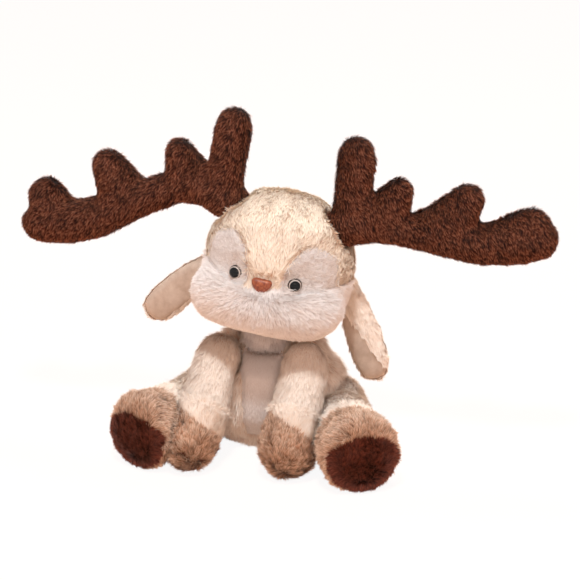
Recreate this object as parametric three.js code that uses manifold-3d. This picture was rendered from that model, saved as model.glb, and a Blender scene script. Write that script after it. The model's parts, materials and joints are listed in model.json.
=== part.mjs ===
import * as THREE from 'three';
import { mergeVertices } from 'three/addons/utils/BufferGeometryUtils.js';
import Module from 'manifold-3d';

// A sitting plush deer with broad padded antlers. The toy faces -Y, its own left is +X and +Z is up.
// The origin is the centre of the flat seat under the torso. All lengths are millimetres, angles degrees.

// Cloth and running clearances
const skin = 3; // pile backing with its seam allowance
const seam_gap = 0.3; // between pieces that are sewn or pressed together
const root_gap = 0.8; // round a limb's ball shaped root
const swing_gap = 1; // between a limb's cut face and what it swings past
const floor_flat = 0.5; // depth of the flat that each resting form has on the floor
const ball_segments = 12; // facets round a limb's root
const neck_segments = 24;
const overrun = 400; // how far a cutting solid reaches past what it cuts
const inner_detail_share = 0.6; // facets of a hidden layer against those of the outside

// Torso
const torso_width = 166;
const torso_depth = 122;
const torso_height = 122;
const torso_girth_shares = [[0.9, 0.88], [1, 1], [1, 0.99], [0.95, 0.94], [0.86, 0.86], [0.7, 0.72]];
const torso_lean_shares = [0, -0.02, -0.03, -0.03, -0.02, 0]; // of the depth, forward
const torso_foot_share = 0.25; // of the height, the rounded hem under the widest girth
const torso_top_share = 0.22;
const belly_width = 37;
const belly_low_share = 0.13;
const belly_high_share = 0.94;

// Neck and head
const neck_radius = 32;
const neck_height_share = 0.97; // of the torso height
const neck_forward_share = 0.07; // of the torso depth
const head_width = 148;
const head_depth = 130;
const head_height = 142;
const head_lift = 2.5; // lowest point of the head above the neck's centre
const head_girth_shares = [[0.92, 0.9], [0.98, 0.98], [1, 1], [1, 1], [1, 0.98], [0.94, 0.93]];
const head_foot_share = 0.26;
const head_top_share = 0.3;
const head_forward_share = 0.06;
const head_roll_angle = 8.4;
const head_turn_angle = -0.5;
const head_pitch_angle = -3;
const muzzle_width = 148;
const muzzle_height = 66;
const muzzle_depth = 92;
const muzzle_forward_share = 0.24; // of the head depth
const muzzle_height_share = 0.285; // of the head height
const muzzle_top_shares = [[-0.53, 0.49], [-0.27, 0.44], [-0.1, 0.405], [0.1, 0.405], [0.27, 0.44], [0.53, 0.49]];
const patch_shares = [[0.12, 0.34], [0.12, 0.47], [0.135, 0.57], [0.155, 0.65], [0.2, 0.72], [0.265, 0.755],
  [0.35, 0.72], [0.405, 0.675], [0.43, 0.6], [0.45, 0.34]];

// Safety eyes and nose, each with a shank through the cloth and a locking washer behind it
const eye_diameter = 13.5;
const eye_dome = 4.5;
const eye_side_share = 0.202; // of the head width, from the middle
const eye_height_share = 0.495; // of the head height
const shank_diameter = 4;
const shank_length = 15;
const washer_diameter = 17;
const washer_thickness = 2;
const washer_gap = 0.6;
const nose_width = 18;
const nose_height = 13.5;
const nose_depth = 6;
const nose_bevel = 2;
const nose_height_share = 0.46;
const nose_outline_shares = [[-0.5, 0.28], [-0.36, 0.5], [0.36, 0.5], [0.5, 0.28], [0.42, -0.02], [0.14, -0.46],
  [0, -0.5], [-0.14, -0.46], [-0.42, -0.02]];

// Antlers. The toy's right one droops. Places are shares of the length, out and up from the root.
const antler_length = 215;
const antler_beam = 39; // height of the beam, seen from the front
const antler_thickness = 29;
const antler_root_radius = 19;
const antler_side_share = 0.35; // of the head width
const antler_height_share = 0.818;
const antler_sweep_angle = 5; // backwards, from the frontal plane
const antler_flex_angle = 6;
const antler_girth_shares = [1, 0.9, 0.85, 0.93, 1.06, 1.15, 1.04];
const antler_line_shares = {
  left: [[0, 0], [0.16, 0.055], [0.37, 0.055], [0.68, 0.065], [0.885, 0.125]],
  right: [[0, 0], [0.19, 0.065], [0.42, -0.042], [0.71, -0.232], [0.945, -0.305]],
};
// Each tine: where its foot lies along the beam, and its top, out and up
const tine_shares = {
  left: [[0.065, 0.01, 0.44], [0.2, 0.262, 0.287], [0.505, 0.58, 0.318], [0.86, 0.912, 0.237]],
  right: [[0.075, 0.055, 0.455], [0.225, 0.335, 0.25], [0.545, 0.69, 0.117], [0.9, 0.995, -0.105]],
};
const tine_flare_shares = [[1.2, 1, 1], [2, 1.45, 1], [2, 1.45, 1], [1.25, 1.15, 1]]; // of the width, from foot to tip
const tine_width_shares = [0.94, 0.77, 0.9, 1.08]; // of the beam

// Ears
const ear_length = 113;
const ear_width = 39;
const ear_thickness = 9;
const ear_root_radius = 8;
const ear_side_share = 0.44;
const ear_height_share = 0.39;
const ear_back_share = 0.22; // of the head depth, behind the head's middle
const ear_lean_angles = { left: 27, right: 39.5 };
const ear_flap_angle = 40;
const ear_girth_shares = [0.44, 0.68, 0.9, 1, 1, 0.88];
const ear_tip_share = 0.4;

// Front legs
const shoulder_radius = 22;
const front_leg_radius = 26;
const paw_radius = 28.5;
const shoulder_side_share = 0.257; // of the torso width
const shoulder_forward_share = 0.34; // of the torso depth
const shoulder_height_share = 0.8; // of the torso height
const paw_place_shares = { left: [0.228, 0.738], right: [0.367, 0.779] }; // of the torso width and depth
const paw_share = 0.63; // where the sleeve ends, along the leg
const leg_lift_angle = 30;

// Hind legs
const hip_radius = 36;
const ankle_radius = 33;
const foot_radius = 37;
const hip_side_share = 0.355;
const hip_forward_share = 0.02;
const foot_place_shares = { left: [0.669, 0.852], right: [0.639, 0.824] }; // of the torso width and depth
const foot_cap = 14;
const foot_share = 0.62; // where the haunch's cloth ends, along the leg
const leg_splay_angle = 20;

// Tail
const tail_length = 34;
const tail_radius = 14;
const tail_root_radius = 12;
const tail_height_share = 0.3;
const tail_wag_angle = 20;

const wasm = await Module();
wasm.setup();

const at = (x, y, z) => new THREE.Vector3(x, y, z);
const rad = THREE.MathUtils.degToRad;

function solid(geometry) {
  const plain = geometry.index ? geometry.toNonIndexed() : geometry.clone();
  plain.deleteAttribute('normal');
  plain.deleteAttribute('uv');
  const merged = mergeVertices(plain, 1e-4);
  return new wasm.Manifold(new wasm.Mesh({
    numProp: 3,
    vertProperties: new Float32Array(merged.attributes.position.array),
    triVerts: new Uint32Array(merged.index.array),
  }));
}

// A stuffed form: elliptical rings along a spine, with a rounded cap at each end. The girths are half
// widths and half depths at even steps, and an inset gives the layer that lies that far under the surface.
function stuffed({ spine, girths, across, caps, sides, rings, capRings = 3, capPowers = [2, 2], phase = 0, inset = 0 }) {
  if (inset > 0) sides = Math.ceil(sides * inner_detail_share);
  const line = spine.length > 2 ? new THREE.CatmullRomCurve3(spine) : new THREE.LineCurve3(...spine);
  const girth = new THREE.CatmullRomCurve3(girths.map(([w, d]) => at(w, d, 0)));
  const points = [];
  const ring = (t, shrink, slide) => {
    const ahead = line.getTangentAt(t);
    const wide = across.clone().addScaledVector(ahead, -across.dot(ahead)).normalize();
    const deep = ahead.clone().cross(wide);
    const centre = line.getPointAt(t).addScaledVector(ahead, slide);
    const size = girth.getPoint(t);
    for (let k = 0; k < sides; k++) {
      const a = (2 * Math.PI * (k + phase)) / sides;
      points.push(centre.clone()
        .addScaledVector(wide, (size.x - inset) * shrink * Math.cos(a))
        .addScaledVector(deep, (size.y - inset) * shrink * Math.sin(a)));
    }
  };
  const bend = (angle, power) => [Math.sin(angle) ** (2 / power), Math.cos(angle) ** (2 / power)];
  const [startCap, endCap] = caps.map((length) => length - inset);
  points.push(line.getPointAt(0).addScaledVector(line.getTangentAt(0), -startCap));
  for (let k = 1; k < capRings; k++) {
    const [out, along] = bend((Math.PI / 2) * (k / capRings), capPowers[0]);
    ring(0, out, -startCap * along);
  }
  for (let k = 0; k <= rings; k++) ring(k / rings, 1, 0);
  for (let k = capRings - 1; k > 0; k--) {
    const [out, along] = bend((Math.PI / 2) * (k / capRings), capPowers[1]);
    ring(1, out, endCap * along);
  }
  points.push(line.getPointAt(1).addScaledVector(line.getTangentAt(1), endCap));

  const faces = [];
  const count = (points.length - 2) / sides;
  const id = (r, k) => 1 + r * sides + (k % sides);
  for (let k = 0; k < sides; k++) {
    faces.push(0, id(0, k + 1), id(0, k));
    for (let r = 0; r < count - 1; r++) {
      faces.push(id(r, k), id(r, k + 1), id(r + 1, k), id(r, k + 1), id(r + 1, k + 1), id(r + 1, k));
    }
    faces.push(points.length - 1, id(count - 1, k), id(count - 1, k + 1));
  }
  const geometry = new THREE.BufferGeometry();
  geometry.setAttribute('position', new THREE.Float32BufferAttribute(points.flatMap((p) => [p.x, p.y, p.z]), 3));
  geometry.setIndex(faces);
  return solid(geometry);
}

function ball(centre, radius, segments = ball_segments) {
  const geometry = new THREE.SphereGeometry(radius, segments, segments / 2);
  geometry.translate(centre.x, centre.y, centre.z);
  return solid(geometry);
}

// The facets of a socket stay clear of the ball that turns in it.
const socket = (centre, radius, gap = root_gap, segments = ball_segments) =>
  ball(centre, (radius + gap) / Math.cos(Math.PI / segments) ** 2, segments);

function block(low, high) {
  const geometry = new THREE.BoxGeometry(high.x - low.x, high.y - low.y, high.z - low.z);
  geometry.translate((low.x + high.x) / 2, (low.y + high.y) / 2, (low.z + high.z) / 2);
  return solid(geometry);
}

// The half space past a point in a direction, as a large block
function beyond(point, direction) {
  const geometry = new THREE.BoxGeometry(overrun, overrun, overrun);
  geometry.translate(0, 0, overrun / 2);
  geometry.applyQuaternion(new THREE.Quaternion().setFromUnitVectors(at(0, 0, 1), direction.clone().normalize()));
  geometry.translate(point.x, point.y, point.z);
  return solid(geometry);
}

// An outline drawn on the front view, run from the front plane back to a depth
function frontPrism(outline, front, back) {
  const shape = new THREE.Shape(outline.map(([x, z]) => new THREE.Vector2(x, z)));
  const geometry = new THREE.ExtrudeGeometry(shape, { depth: back - front, bevelEnabled: false });
  geometry.rotateX(Math.PI / 2);
  geometry.translate(0, back, 0);
  return solid(geometry);
}

const floor = block(at(-overrun, -overrun, -overrun), at(overrun, overrun, 0));
const turned = (piece, matrix) => piece.transform(matrix.elements);
const mirrored = (piece) => piece.transform(new THREE.Matrix4().makeScale(-1, 1, 1).elements);
const mirror = (v) => at(-v.x, v.y, v.z);

// What a limb swings past, with the socket of its root left free
const around = (form, centre, radius) => form.subtract(socket(centre, radius, root_gap - seam_gap));

// Cuts a piece clear of what it would meet while it swings about its root.
function clearOf(piece, obstacle, pivot, axis, angles) {
  return angles.reduce((left, angle) => left.subtract(turned(obstacle, new THREE.Matrix4()
    .makeTranslation(pivot).multiply(new THREE.Matrix4().makeRotationAxis(axis, rad(-angle)))
    .multiply(new THREE.Matrix4().makeTranslation(pivot.clone().negate())))), piece);
}

const toy = new THREE.Group();

function cloth(colour, roughness = 0.95) {
  return new THREE.MeshStandardMaterial({ color: colour, roughness, metalness: 0 });
}

// The slivers that a cut leaves beside a piece are dropped.
const largest = (piece) => piece.decompose().reduce((a, b) => (b.volume() > a.volume() ? b : a));

function meshGeometry(piece) {
  const mesh = largest(piece).getMesh();
  const geometry = new THREE.BufferGeometry();
  geometry.setAttribute('position', new THREE.BufferAttribute(new Float32Array(mesh.vertProperties), 3));
  geometry.setIndex(new THREE.BufferAttribute(new Uint32Array(mesh.triVerts), 1));
  geometry.computeVertexNormals();
  return geometry;
}

// Adds a piece that is worked out in the toy's frame to a group, in the group's own frame.
function add(group, name, piece, material) {
  group.updateWorldMatrix(true, false);
  const mesh = new THREE.Mesh(meshGeometry(turned(piece, group.matrixWorld.clone().invert())), material);
  mesh.name = name;
  group.add(mesh);
  return mesh;
}

function groupAt(parent, position) {
  const group = new THREE.Group();
  group.position.copy(position);
  parent.add(group);
  return group;
}

// Torso form: a pear on a flat hem
const torsoFoot = torso_height * torso_foot_share;
const torsoTop = torso_height * torso_top_share;
function torsoForm(inset) {
  const last = torso_girth_shares.length - 1;
  const low = torsoFoot - floor_flat;
  const high = torso_height - torsoTop;
  return stuffed({
    spine: torso_lean_shares.map((share, k) => at(0, torso_depth * share, low + ((high - low) * k) / last)),
    girths: torso_girth_shares.map(([w, d]) => [(torso_width / 2) * w, (torso_depth / 2) * d]),
    across: at(1, 0, 0), caps: [torsoFoot, torsoTop], capPowers: [2.5, 2], sides: 14, rings: 5, inset,
  });
}

const neckCentre = at(0, -torso_depth * neck_forward_share, torso_height * neck_height_share);

// Front legs, both drawn on +X
const shoulder = at(torso_width * shoulder_side_share, -torso_depth * shoulder_forward_share,
  torso_height * shoulder_height_share);
function frontLine(side) {
  const [out, ahead] = paw_place_shares[side];
  const paw = at(torso_width * out, -torso_depth * ahead, paw_radius - floor_flat);
  return new THREE.CatmullRomCurve3([shoulder, shoulder.clone().lerp(paw, 0.5)
    .add(at(0, 0, -paw_radius * 0.1)), paw]);
}
const frontLegForm = (side, inset) => stuffed({
  spine: frontLine(side).points,
  girths: [shoulder_radius, front_leg_radius * 0.93, front_leg_radius, paw_radius].map((r) => [r, r]),
  across: at(1, 0, 0), caps: [shoulder_radius, paw_radius], sides: 10, rings: 5, inset,
});

// Hind legs, both drawn on +X
const hip = at(torso_width * hip_side_share, -torso_depth * hip_forward_share, hip_radius + root_gap);
const footCentre = (side) => at(torso_width * foot_place_shares[side][0], -torso_depth * foot_place_shares[side][1],
  foot_radius - floor_flat);
const hindLine = (side) => new THREE.CatmullRomCurve3([hip, hip.clone().lerp(footCentre(side), 0.5).setZ(ankle_radius),
  footCentre(side)]);
function hindLegForm(side, inset) {
  return stuffed({
    spine: hindLine(side).points,
    girths: [hip_radius, hip_radius * 0.94, ankle_radius, foot_radius * 0.93, foot_radius].map((r) => [r, r]),
    across: at(0, 0, 1), caps: [hip_radius, foot_cap], sides: 11, rings: 4, capPowers: [2, 3], inset,
  });
}

const tailRoot = at(0, (torso_depth / 2) * 0.99, torso_height * tail_height_share);
const tailTip = tailRoot.clone().add(at(0, tail_length * 0.42, tail_length * 0.36));
function tailForm(inset) {
  return stuffed({
    spine: [tailRoot, tailTip], girths: [[tail_root_radius, tail_root_radius], [tail_radius, tail_radius]],
    across: at(1, 0, 0), caps: [tail_root_radius, tail_length * 0.5], sides: 10, rings: 2, inset,
  });
}

// What the torso gives way to
const roots = [[shoulder, shoulder_radius], [mirror(shoulder), shoulder_radius],
  [hip, hip_radius], [mirror(hip), hip_radius], [tailRoot, tail_root_radius]];
const sockets = roots.map(([centre, radius]) => socket(centre, radius))
  .reduce((all, one) => all.add(one), socket(neckCentre, neck_radius, seam_gap, neck_segments));
const belly_half = belly_width / 2;
const bellyZone = (grow) => block(
  at(-belly_half - grow, -overrun, torso_height * belly_low_share - grow),
  at(belly_half + grow, 0, torso_height * belly_high_share + grow));
const torsoShell = torsoForm(0).subtract(torsoForm(skin)).subtract(sockets).subtract(floor);
const torsoGroup = groupAt(toy, at(0, 0, 0));
add(torsoGroup, 'torso_cover', torsoShell.subtract(bellyZone(seam_gap / 2)), cloth('#f3ddc8'));
add(torsoGroup, 'belly_panel', torsoShell.intersect(bellyZone(-seam_gap / 2)), cloth('#f0e4dc'));
add(torsoGroup, 'torso_stuffing', torsoForm(skin + seam_gap).subtract(sockets), cloth('#f6f6f2'));

const neckGroup = groupAt(toy, neckCentre);
add(neckGroup, 'neck_core', ball(neckCentre, neck_radius, neck_segments), cloth('#f3ddc8'));

// Head, in a frame of its own: the origin is the neck centre and +Z runs up through the crown.
const headGroup = groupAt(neckGroup, at(0, 0, 0));
headGroup.rotation.set(rad(head_pitch_angle), rad(head_roll_angle), rad(head_turn_angle), 'ZYX');
toy.updateMatrixWorld(true);
const headMatrix = headGroup.matrixWorld.clone();
const inToy = (piece) => turned(piece, headMatrix);
const headLow = head_lift;
const headForward = -head_depth * head_forward_share;

function skullForm(inset) {
  return stuffed({
    spine: [at(0, headForward, headLow + head_height * head_foot_share),
      at(0, headForward, headLow + head_height * (1 - head_top_share))],
    girths: head_girth_shares.map(([w, d]) => [(head_width / 2) * w, (head_depth / 2) * d]),
    across: at(1, 0, 0), caps: [head_height * head_foot_share, head_height * head_top_share],
    sides: 16, rings: 4, inset,
  });
}

// The puffed muzzle, wider than it is deep
const muzzleCentre = at(0, headForward - head_depth * muzzle_forward_share, headLow + head_height * muzzle_height_share);
const muzzleForm = (inset) => stuffed({
  spine: [-1, 1].map((end) => muzzleCentre.clone().add(at((end * muzzle_width) / 4, 0, 0))),
  girths: [[0.96, 0.92], [1, 1], [0.96, 0.92]].map(([up, deep]) => [(muzzle_height / 2) * up, (muzzle_depth / 2) * deep]),
  across: at(0, 0, 1), caps: [muzzle_width / 4, muzzle_width / 4], sides: 12, rings: 3, inset,
});
const headForm = (inset) => skullForm(inset).add(muzzleForm(inset));

// The point of the head's surface that a line from the front meets, with the surface's direction there
const headSurface = new THREE.Mesh(meshGeometry(headForm(0)));
function onHead(x, z) {
  const ray = new THREE.Raycaster(at(x, -overrun, z), at(0, 1, 0));
  const hit = ray.intersectObject(headSurface)[0];
  return { point: hit.point, out: hit.face.normal.clone() };
}

const grown = (outline, grow) => {
  const middle = outline.reduce((sum, p) => sum.add(p), new THREE.Vector2()).divideScalar(outline.length);
  return outline.map((p) => p.clone().addScaledVector(p.clone().sub(middle).normalize(), grow)).map((p) => [p.x, p.y]);
};
const muzzleTop = muzzle_top_shares.map(([x, z]) => new THREE.Vector2(head_width * x, headLow + head_height * z));
const muzzleZone = (grow) => frontPrism([[-head_width, muzzleTop[0].y + grow],
  ...muzzleTop.map((p) => [p.x, p.y + grow]), [head_width, muzzleTop[0].y + grow],
  [head_width, -head_height], [-head_width, -head_height]], -overrun, headForward);
const patchOutline = patch_shares.map(([x, z]) => new THREE.Vector2(head_width * x, headLow + head_height * z));
const patchZone = (grow, sign) => {
  const zone = frontPrism(grown(patchOutline, grow), -overrun, headForward);
  return sign > 0 ? zone : mirrored(zone);
};

// Antlers, each a curved beam with four blunt tines in the frontal plane, drawn for the side on +X
function antlerForm(side, root, inset) {
  const swept = (out, up) => root.clone().add(at(antler_length * out,
    antler_length * out * Math.tan(rad(antler_sweep_angle)), antler_length * up));
  const line = new THREE.CatmullRomCurve3(antler_line_shares[side].map(([out, up]) => swept(out, up)));
  const half = antler_beam / 2;
  const thick = antler_thickness / 2;
  const beam = stuffed({
    spine: line.points, girths: antler_girth_shares.map((share, k) => (k ? [half * share, thick * share]
      : [antler_root_radius, antler_root_radius])),
    across: at(0, 0, 1), caps: [antler_root_radius, half], sides: 8, rings: 7, inset,
  });
  return tine_shares[side].reduce((form, [place, out, up], k) => {
    const wide = (antler_beam * tine_width_shares[k]) / 2;
    const foot = line.getPointAt(place);
    const top = swept(out, up);
    const tip = top.clone().addScaledVector(top.clone().sub(foot).normalize(), -wide);
    return form.add(stuffed({
      spine: [foot, tip], girths: tine_flare_shares[k].map((flare) => [wide * flare, thick * 0.95]),
      across: at(1, 0, 0), caps: [half * 0.5, wide], sides: 7, rings: 2, capRings: 2, inset,
    }));
  }, beam);
}

// Ears, leaf shaped with a narrow pinched root, drawn for the side on +X
function earForm(side, root) {
  const along = at(Math.sin(rad(ear_lean_angles[side])), 0, -Math.cos(rad(ear_lean_angles[side])));
  const tip = ear_width * ear_tip_share;
  return stuffed({
    spine: [root, root.clone().addScaledVector(along, ear_length - ear_root_radius - tip)],
    girths: ear_girth_shares.map((share, k) => (k ? [(ear_width / 2) * share, ear_thickness / 2]
      : [ear_root_radius, ear_root_radius])),
    across: at(-along.z, 0, along.x), caps: [ear_root_radius, tip], sides: 10, rings: 5, phase: 0.5,
  });
}

// A button shape on a shank, revolved about its own Y
function onShank(profile, seat) {
  const geometry = new THREE.LatheGeometry(profile.map(([r, y]) => new THREE.Vector2(r, y)).reverse(), 12);
  geometry.applyQuaternion(new THREE.Quaternion().setFromUnitVectors(at(0, 1, 0), seat.out));
  geometry.translate(seat.point.x, seat.point.y, seat.point.z);
  return solid(geometry);
}
const shank = shank_diameter / 2;
const shankOf = (seat, grow) => onShank(
  [[0, seam_gap], [shank + grow, seam_gap], [shank + grow, -shank_length - grow], [0, -shank_length - grow]], seat);
const washerDepth = skin + washer_gap;
const washerOf = (seat, grow) => onShank([
  [grow ? 0 : shank + seam_gap, -washerDepth + grow], [washer_diameter / 2 + grow, -washerDepth + grow],
  [washer_diameter / 2 + grow, -washerDepth - washer_thickness - grow],
  [grow ? 0 : shank + seam_gap, -washerDepth - washer_thickness - grow], [grow ? 0 : shank + seam_gap, -washerDepth + grow]], seat);

const sides = [['left', 1], ['right', -1]];
const pads = '#f6f6f2';
const cream = '#f3ddc8';
const tan = '#c08f72';
const brown = '#4f2a20';

// What the head gives way to: the balls that turn in it, and the shanks and washers held in it
const headRoots = [];
const headHoles = [];
for (const [side, sign] of sides) {
  const face = sign > 0 ? (piece) => piece : mirrored;
  const across = at(sign, 1, 1);

  // Front leg
  const legGroup = groupAt(toy, shoulder.clone().multiply(across));
  const bodyAndHaunch = (gap) => around(torsoForm(-gap), shoulder, shoulder_radius).add(hindLegForm(side, -gap - swing_gap));
  const wrist = frontLine(side).getPointAt(paw_share);
  const wristAhead = frontLine(side).getTangentAt(paw_share);
  const past = (shift) => beyond(wrist.clone().addScaledVector(wristAhead, shift), wristAhead);
  const legClear = (piece, gap = swing_gap) => clearOf(piece.subtract(floor), bodyAndHaunch(gap), shoulder,
    at(-1, 0, 0), [0, leg_lift_angle / 3, (leg_lift_angle * 2) / 3, leg_lift_angle]);
  const sleeve = legClear(frontLegForm(side, 0).subtract(frontLegForm(side, skin)));
  add(legGroup, `front_leg_${side}`, face(sleeve.subtract(past(-seam_gap / 2))), cloth(cream));
  add(legGroup, `front_paw_${side}`, face(sleeve.intersect(past(seam_gap / 2))), cloth(tan));
  add(legGroup, `front_leg_stuffing_${side}`, face(legClear(frontLegForm(side, skin + seam_gap), 2 * swing_gap)), cloth(pads));

  // Hind leg
  const hindGroup = groupAt(toy, hip.clone().multiply(across));
  const body = (gap) => around(torsoForm(-gap), hip, hip_radius);
  const ankle = hindLine(side).getPointAt(foot_share);
  const ankleAhead = hindLine(side).getTangentAt(foot_share);
  const soleAhead = hindLine(side).getTangentAt(1);
  const pastAnkle = (shift) => beyond(ankle.clone().addScaledVector(ankleAhead, shift), ankleAhead);
  const pastSole = (shift) => beyond(footCentre(side).clone().addScaledVector(soleAhead, foot_cap * 0.6 + shift), soleAhead);
  const hindClear = (piece, gap = swing_gap) => clearOf(piece.subtract(floor), body(gap), hip,
    at(0, 0, 1), [0, leg_splay_angle / 3, (leg_splay_angle * 2) / 3, leg_splay_angle]);
  const hindShell = hindClear(hindLegForm(side, 0).subtract(hindLegForm(side, skin)));
  add(hindGroup, `hind_leg_${side}`, face(hindShell.subtract(pastAnkle(-seam_gap / 2))), cloth('#e8d0bd'));
  add(hindGroup, `hind_foot_${side}`,
    face(hindShell.intersect(pastAnkle(seam_gap / 2)).subtract(pastSole(-seam_gap / 2))), cloth(tan));
  add(hindGroup, `hind_sole_${side}`, face(hindShell.intersect(pastSole(seam_gap / 2))), cloth('#43201a'));
  add(hindGroup, `hind_leg_stuffing_${side}`, face(hindClear(hindLegForm(side, skin + seam_gap), 2 * swing_gap)), cloth(pads));

  // Antler
  const antlerRoot = at(head_width * antler_side_share, headForward, headLow + head_height * antler_height_share);
  const antlerGroup = groupAt(headGroup, antlerRoot.clone().multiply(across));
  const skull = around(headForm(-seam_gap), antlerRoot, antler_root_radius);
  const antlerClear = (piece) => clearOf(piece, skull, antlerRoot, at(0, 1, 0), [-antler_flex_angle, 0, antler_flex_angle]);
  const rootMouth = ball(antlerRoot.clone().add(at(-antler_root_radius, 0, 0)), antler_root_radius * 0.6, 8);
  const antlerSkin = antlerClear(antlerForm(side, antlerRoot, 0)).subtract(antlerForm(side, antlerRoot, skin));
  add(antlerGroup, `antler_${side}`, inToy(face(antlerSkin.subtract(rootMouth))), cloth(brown));
  add(antlerGroup, `antler_stuffing_${side}`,
    inToy(face(antlerClear(antlerForm(side, antlerRoot, skin + seam_gap)))), cloth(pads));
  headRoots.push([antlerRoot.clone().multiply(across), antler_root_radius]);

  // Ear, in two layers that meet at the seam along its edge
  const earRoot = at(head_width * ear_side_share, headForward + head_depth * ear_back_share,
    headLow + head_height * ear_height_share);
  const earGroup = groupAt(headGroup, earRoot.clone().multiply(across));
  const cheek = around(headForm(-swing_gap), earRoot, ear_root_radius);
  const leaf = clearOf(earForm(side, earRoot), cheek, earRoot, at(0, -1, 0), [0, ear_flap_angle / 2, ear_flap_angle]);
  const facing = (shift) => beyond(earRoot.clone().add(at(0, shift, 0)), at(0, 1, 0));
  add(earGroup, `ear_outer_${side}`, inToy(face(leaf.intersect(facing(seam_gap / 2)))), cloth(cream));
  add(earGroup, `ear_inner_${side}`, inToy(face(leaf.subtract(facing(-seam_gap / 2)))), cloth('#c9a88f', 0.8));
  headRoots.push([earRoot.clone().multiply(across), ear_root_radius]);

  // Eye
  const seat = onHead(head_width * eye_side_share, headLow + head_height * eye_height_share);
  const dome = onShank([[0, eye_dome], ...[0.25, 0.5, 0.75, 0.95].map((share) => [
    (eye_diameter / 2) * Math.sin((Math.PI / 2) * share), eye_dome * Math.cos((Math.PI / 2) * share)]),
  [eye_diameter / 2, -skin], [0, -skin]], seat).subtract(headForm(-seam_gap));
  add(headGroup, `eye_${side}`, inToy(face(dome.add(shankOf(seat, 0)))), cloth('#14100f', 0.08));
  add(headGroup, `eye_washer_${side}`, inToy(face(washerOf(seat, 0))), cloth('#e9e6de', 0.5));
  headHoles.push(face(shankOf(seat, seam_gap)), face(washerOf(seat, seam_gap)));
}

// Nose, an outline with rounded edges pressed on the top of the muzzle
const noseSeat = onHead(0, headLow + head_height * nose_height_share);
const noseShape = new THREE.Shape(new THREE.SplineCurve([...nose_outline_shares, nose_outline_shares[0]]
  .map(([x, z]) => new THREE.Vector2((nose_width - 2 * nose_bevel) * x, (nose_height - 2 * nose_bevel) * z))).getPoints(18).slice(0, -1));
const noseBody = new THREE.ExtrudeGeometry(noseShape, {
  depth: nose_depth, bevelEnabled: true, bevelThickness: nose_bevel, bevelSize: nose_bevel, bevelSegments: 3 });
noseBody.rotateX(Math.PI / 2);
noseBody.translate(noseSeat.point.x, noseSeat.point.y + skin, noseSeat.point.z);
const nosePiece = solid(noseBody).subtract(headForm(-seam_gap)).add(shankOf(noseSeat, 0));
add(headGroup, 'nose', inToy(nosePiece), cloth('#9e5333', 0.45));
add(headGroup, 'nose_washer', inToy(washerOf(noseSeat, 0)), cloth('#e9e6de', 0.5));
headHoles.push(shankOf(noseSeat, seam_gap), washerOf(noseSeat, seam_gap));

const opened = (piece) => [...headHoles, ...headRoots.map(([centre, radius]) => socket(centre, radius))]
  .reduce((left, cut) => left.subtract(cut), piece.subtract(socket(at(0, 0, 0), neck_radius, seam_gap, neck_segments)));
const headShell = opened(headForm(0).subtract(headForm(skin)));
const patches = (grow) => patchZone(grow, 1).add(patchZone(grow, -1));
add(headGroup, 'head_cover',
  inToy(headShell.subtract(muzzleZone(seam_gap / 2)).subtract(patches(seam_gap / 2))), cloth(cream));
add(headGroup, 'muzzle_panel', inToy(headShell.intersect(muzzleZone(-seam_gap / 2))), cloth('#f4ece6'));
for (const [side, sign] of sides) {
  add(headGroup, `eye_patch_${side}`, inToy(headShell.intersect(patchZone(-seam_gap / 2, sign))
    .subtract(muzzleZone(seam_gap / 2))), cloth('#f4ece6'));
}
add(headGroup, 'head_stuffing', inToy(opened(headForm(skin + seam_gap))), cloth(pads));

const tailGroup = groupAt(toy, tailRoot);
const seatBack = around(torsoForm(-swing_gap), tailRoot, tail_root_radius);
add(tailGroup, 'tail', clearOf(tailForm(0), seatBack, tailRoot, at(0, 0, 1), [-tail_wag_angle, 0, tail_wag_angle]), cloth(cream));

export default toy;
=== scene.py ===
import json
import math

import bmesh
import bpy
import numpy as np
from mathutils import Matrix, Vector
from mathutils.bvhtree import BVHTree

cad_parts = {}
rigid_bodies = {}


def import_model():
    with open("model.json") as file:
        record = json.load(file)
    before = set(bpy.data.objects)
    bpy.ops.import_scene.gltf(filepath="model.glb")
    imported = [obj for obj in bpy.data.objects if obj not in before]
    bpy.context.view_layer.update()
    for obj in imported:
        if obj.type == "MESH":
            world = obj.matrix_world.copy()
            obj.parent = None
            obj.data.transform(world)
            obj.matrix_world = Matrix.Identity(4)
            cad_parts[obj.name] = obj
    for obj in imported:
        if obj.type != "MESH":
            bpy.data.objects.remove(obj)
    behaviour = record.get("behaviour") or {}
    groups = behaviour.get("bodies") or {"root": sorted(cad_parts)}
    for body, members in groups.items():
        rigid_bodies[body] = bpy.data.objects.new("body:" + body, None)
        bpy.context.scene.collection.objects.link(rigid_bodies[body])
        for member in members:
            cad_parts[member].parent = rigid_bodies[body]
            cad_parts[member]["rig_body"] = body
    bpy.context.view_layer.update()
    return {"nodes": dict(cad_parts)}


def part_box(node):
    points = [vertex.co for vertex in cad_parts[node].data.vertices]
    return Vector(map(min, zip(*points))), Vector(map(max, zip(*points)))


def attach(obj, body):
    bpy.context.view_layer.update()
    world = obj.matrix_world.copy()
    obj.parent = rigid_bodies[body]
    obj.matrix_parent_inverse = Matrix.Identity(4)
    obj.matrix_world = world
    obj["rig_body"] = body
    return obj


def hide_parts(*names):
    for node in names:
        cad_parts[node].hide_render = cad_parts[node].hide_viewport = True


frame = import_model()

# TORSO
# The body is a pear of long pile plush, sewn from panels and filled with loose polyester fibre.
# A narrow white panel runs down its belly. The filling keeps the cloth tight and rounds its seams.

MM = 0.001


def shown(obj):
    """Links an object to the scene and gives it back."""
    bpy.context.scene.collection.objects.link(obj)
    return obj


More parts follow.
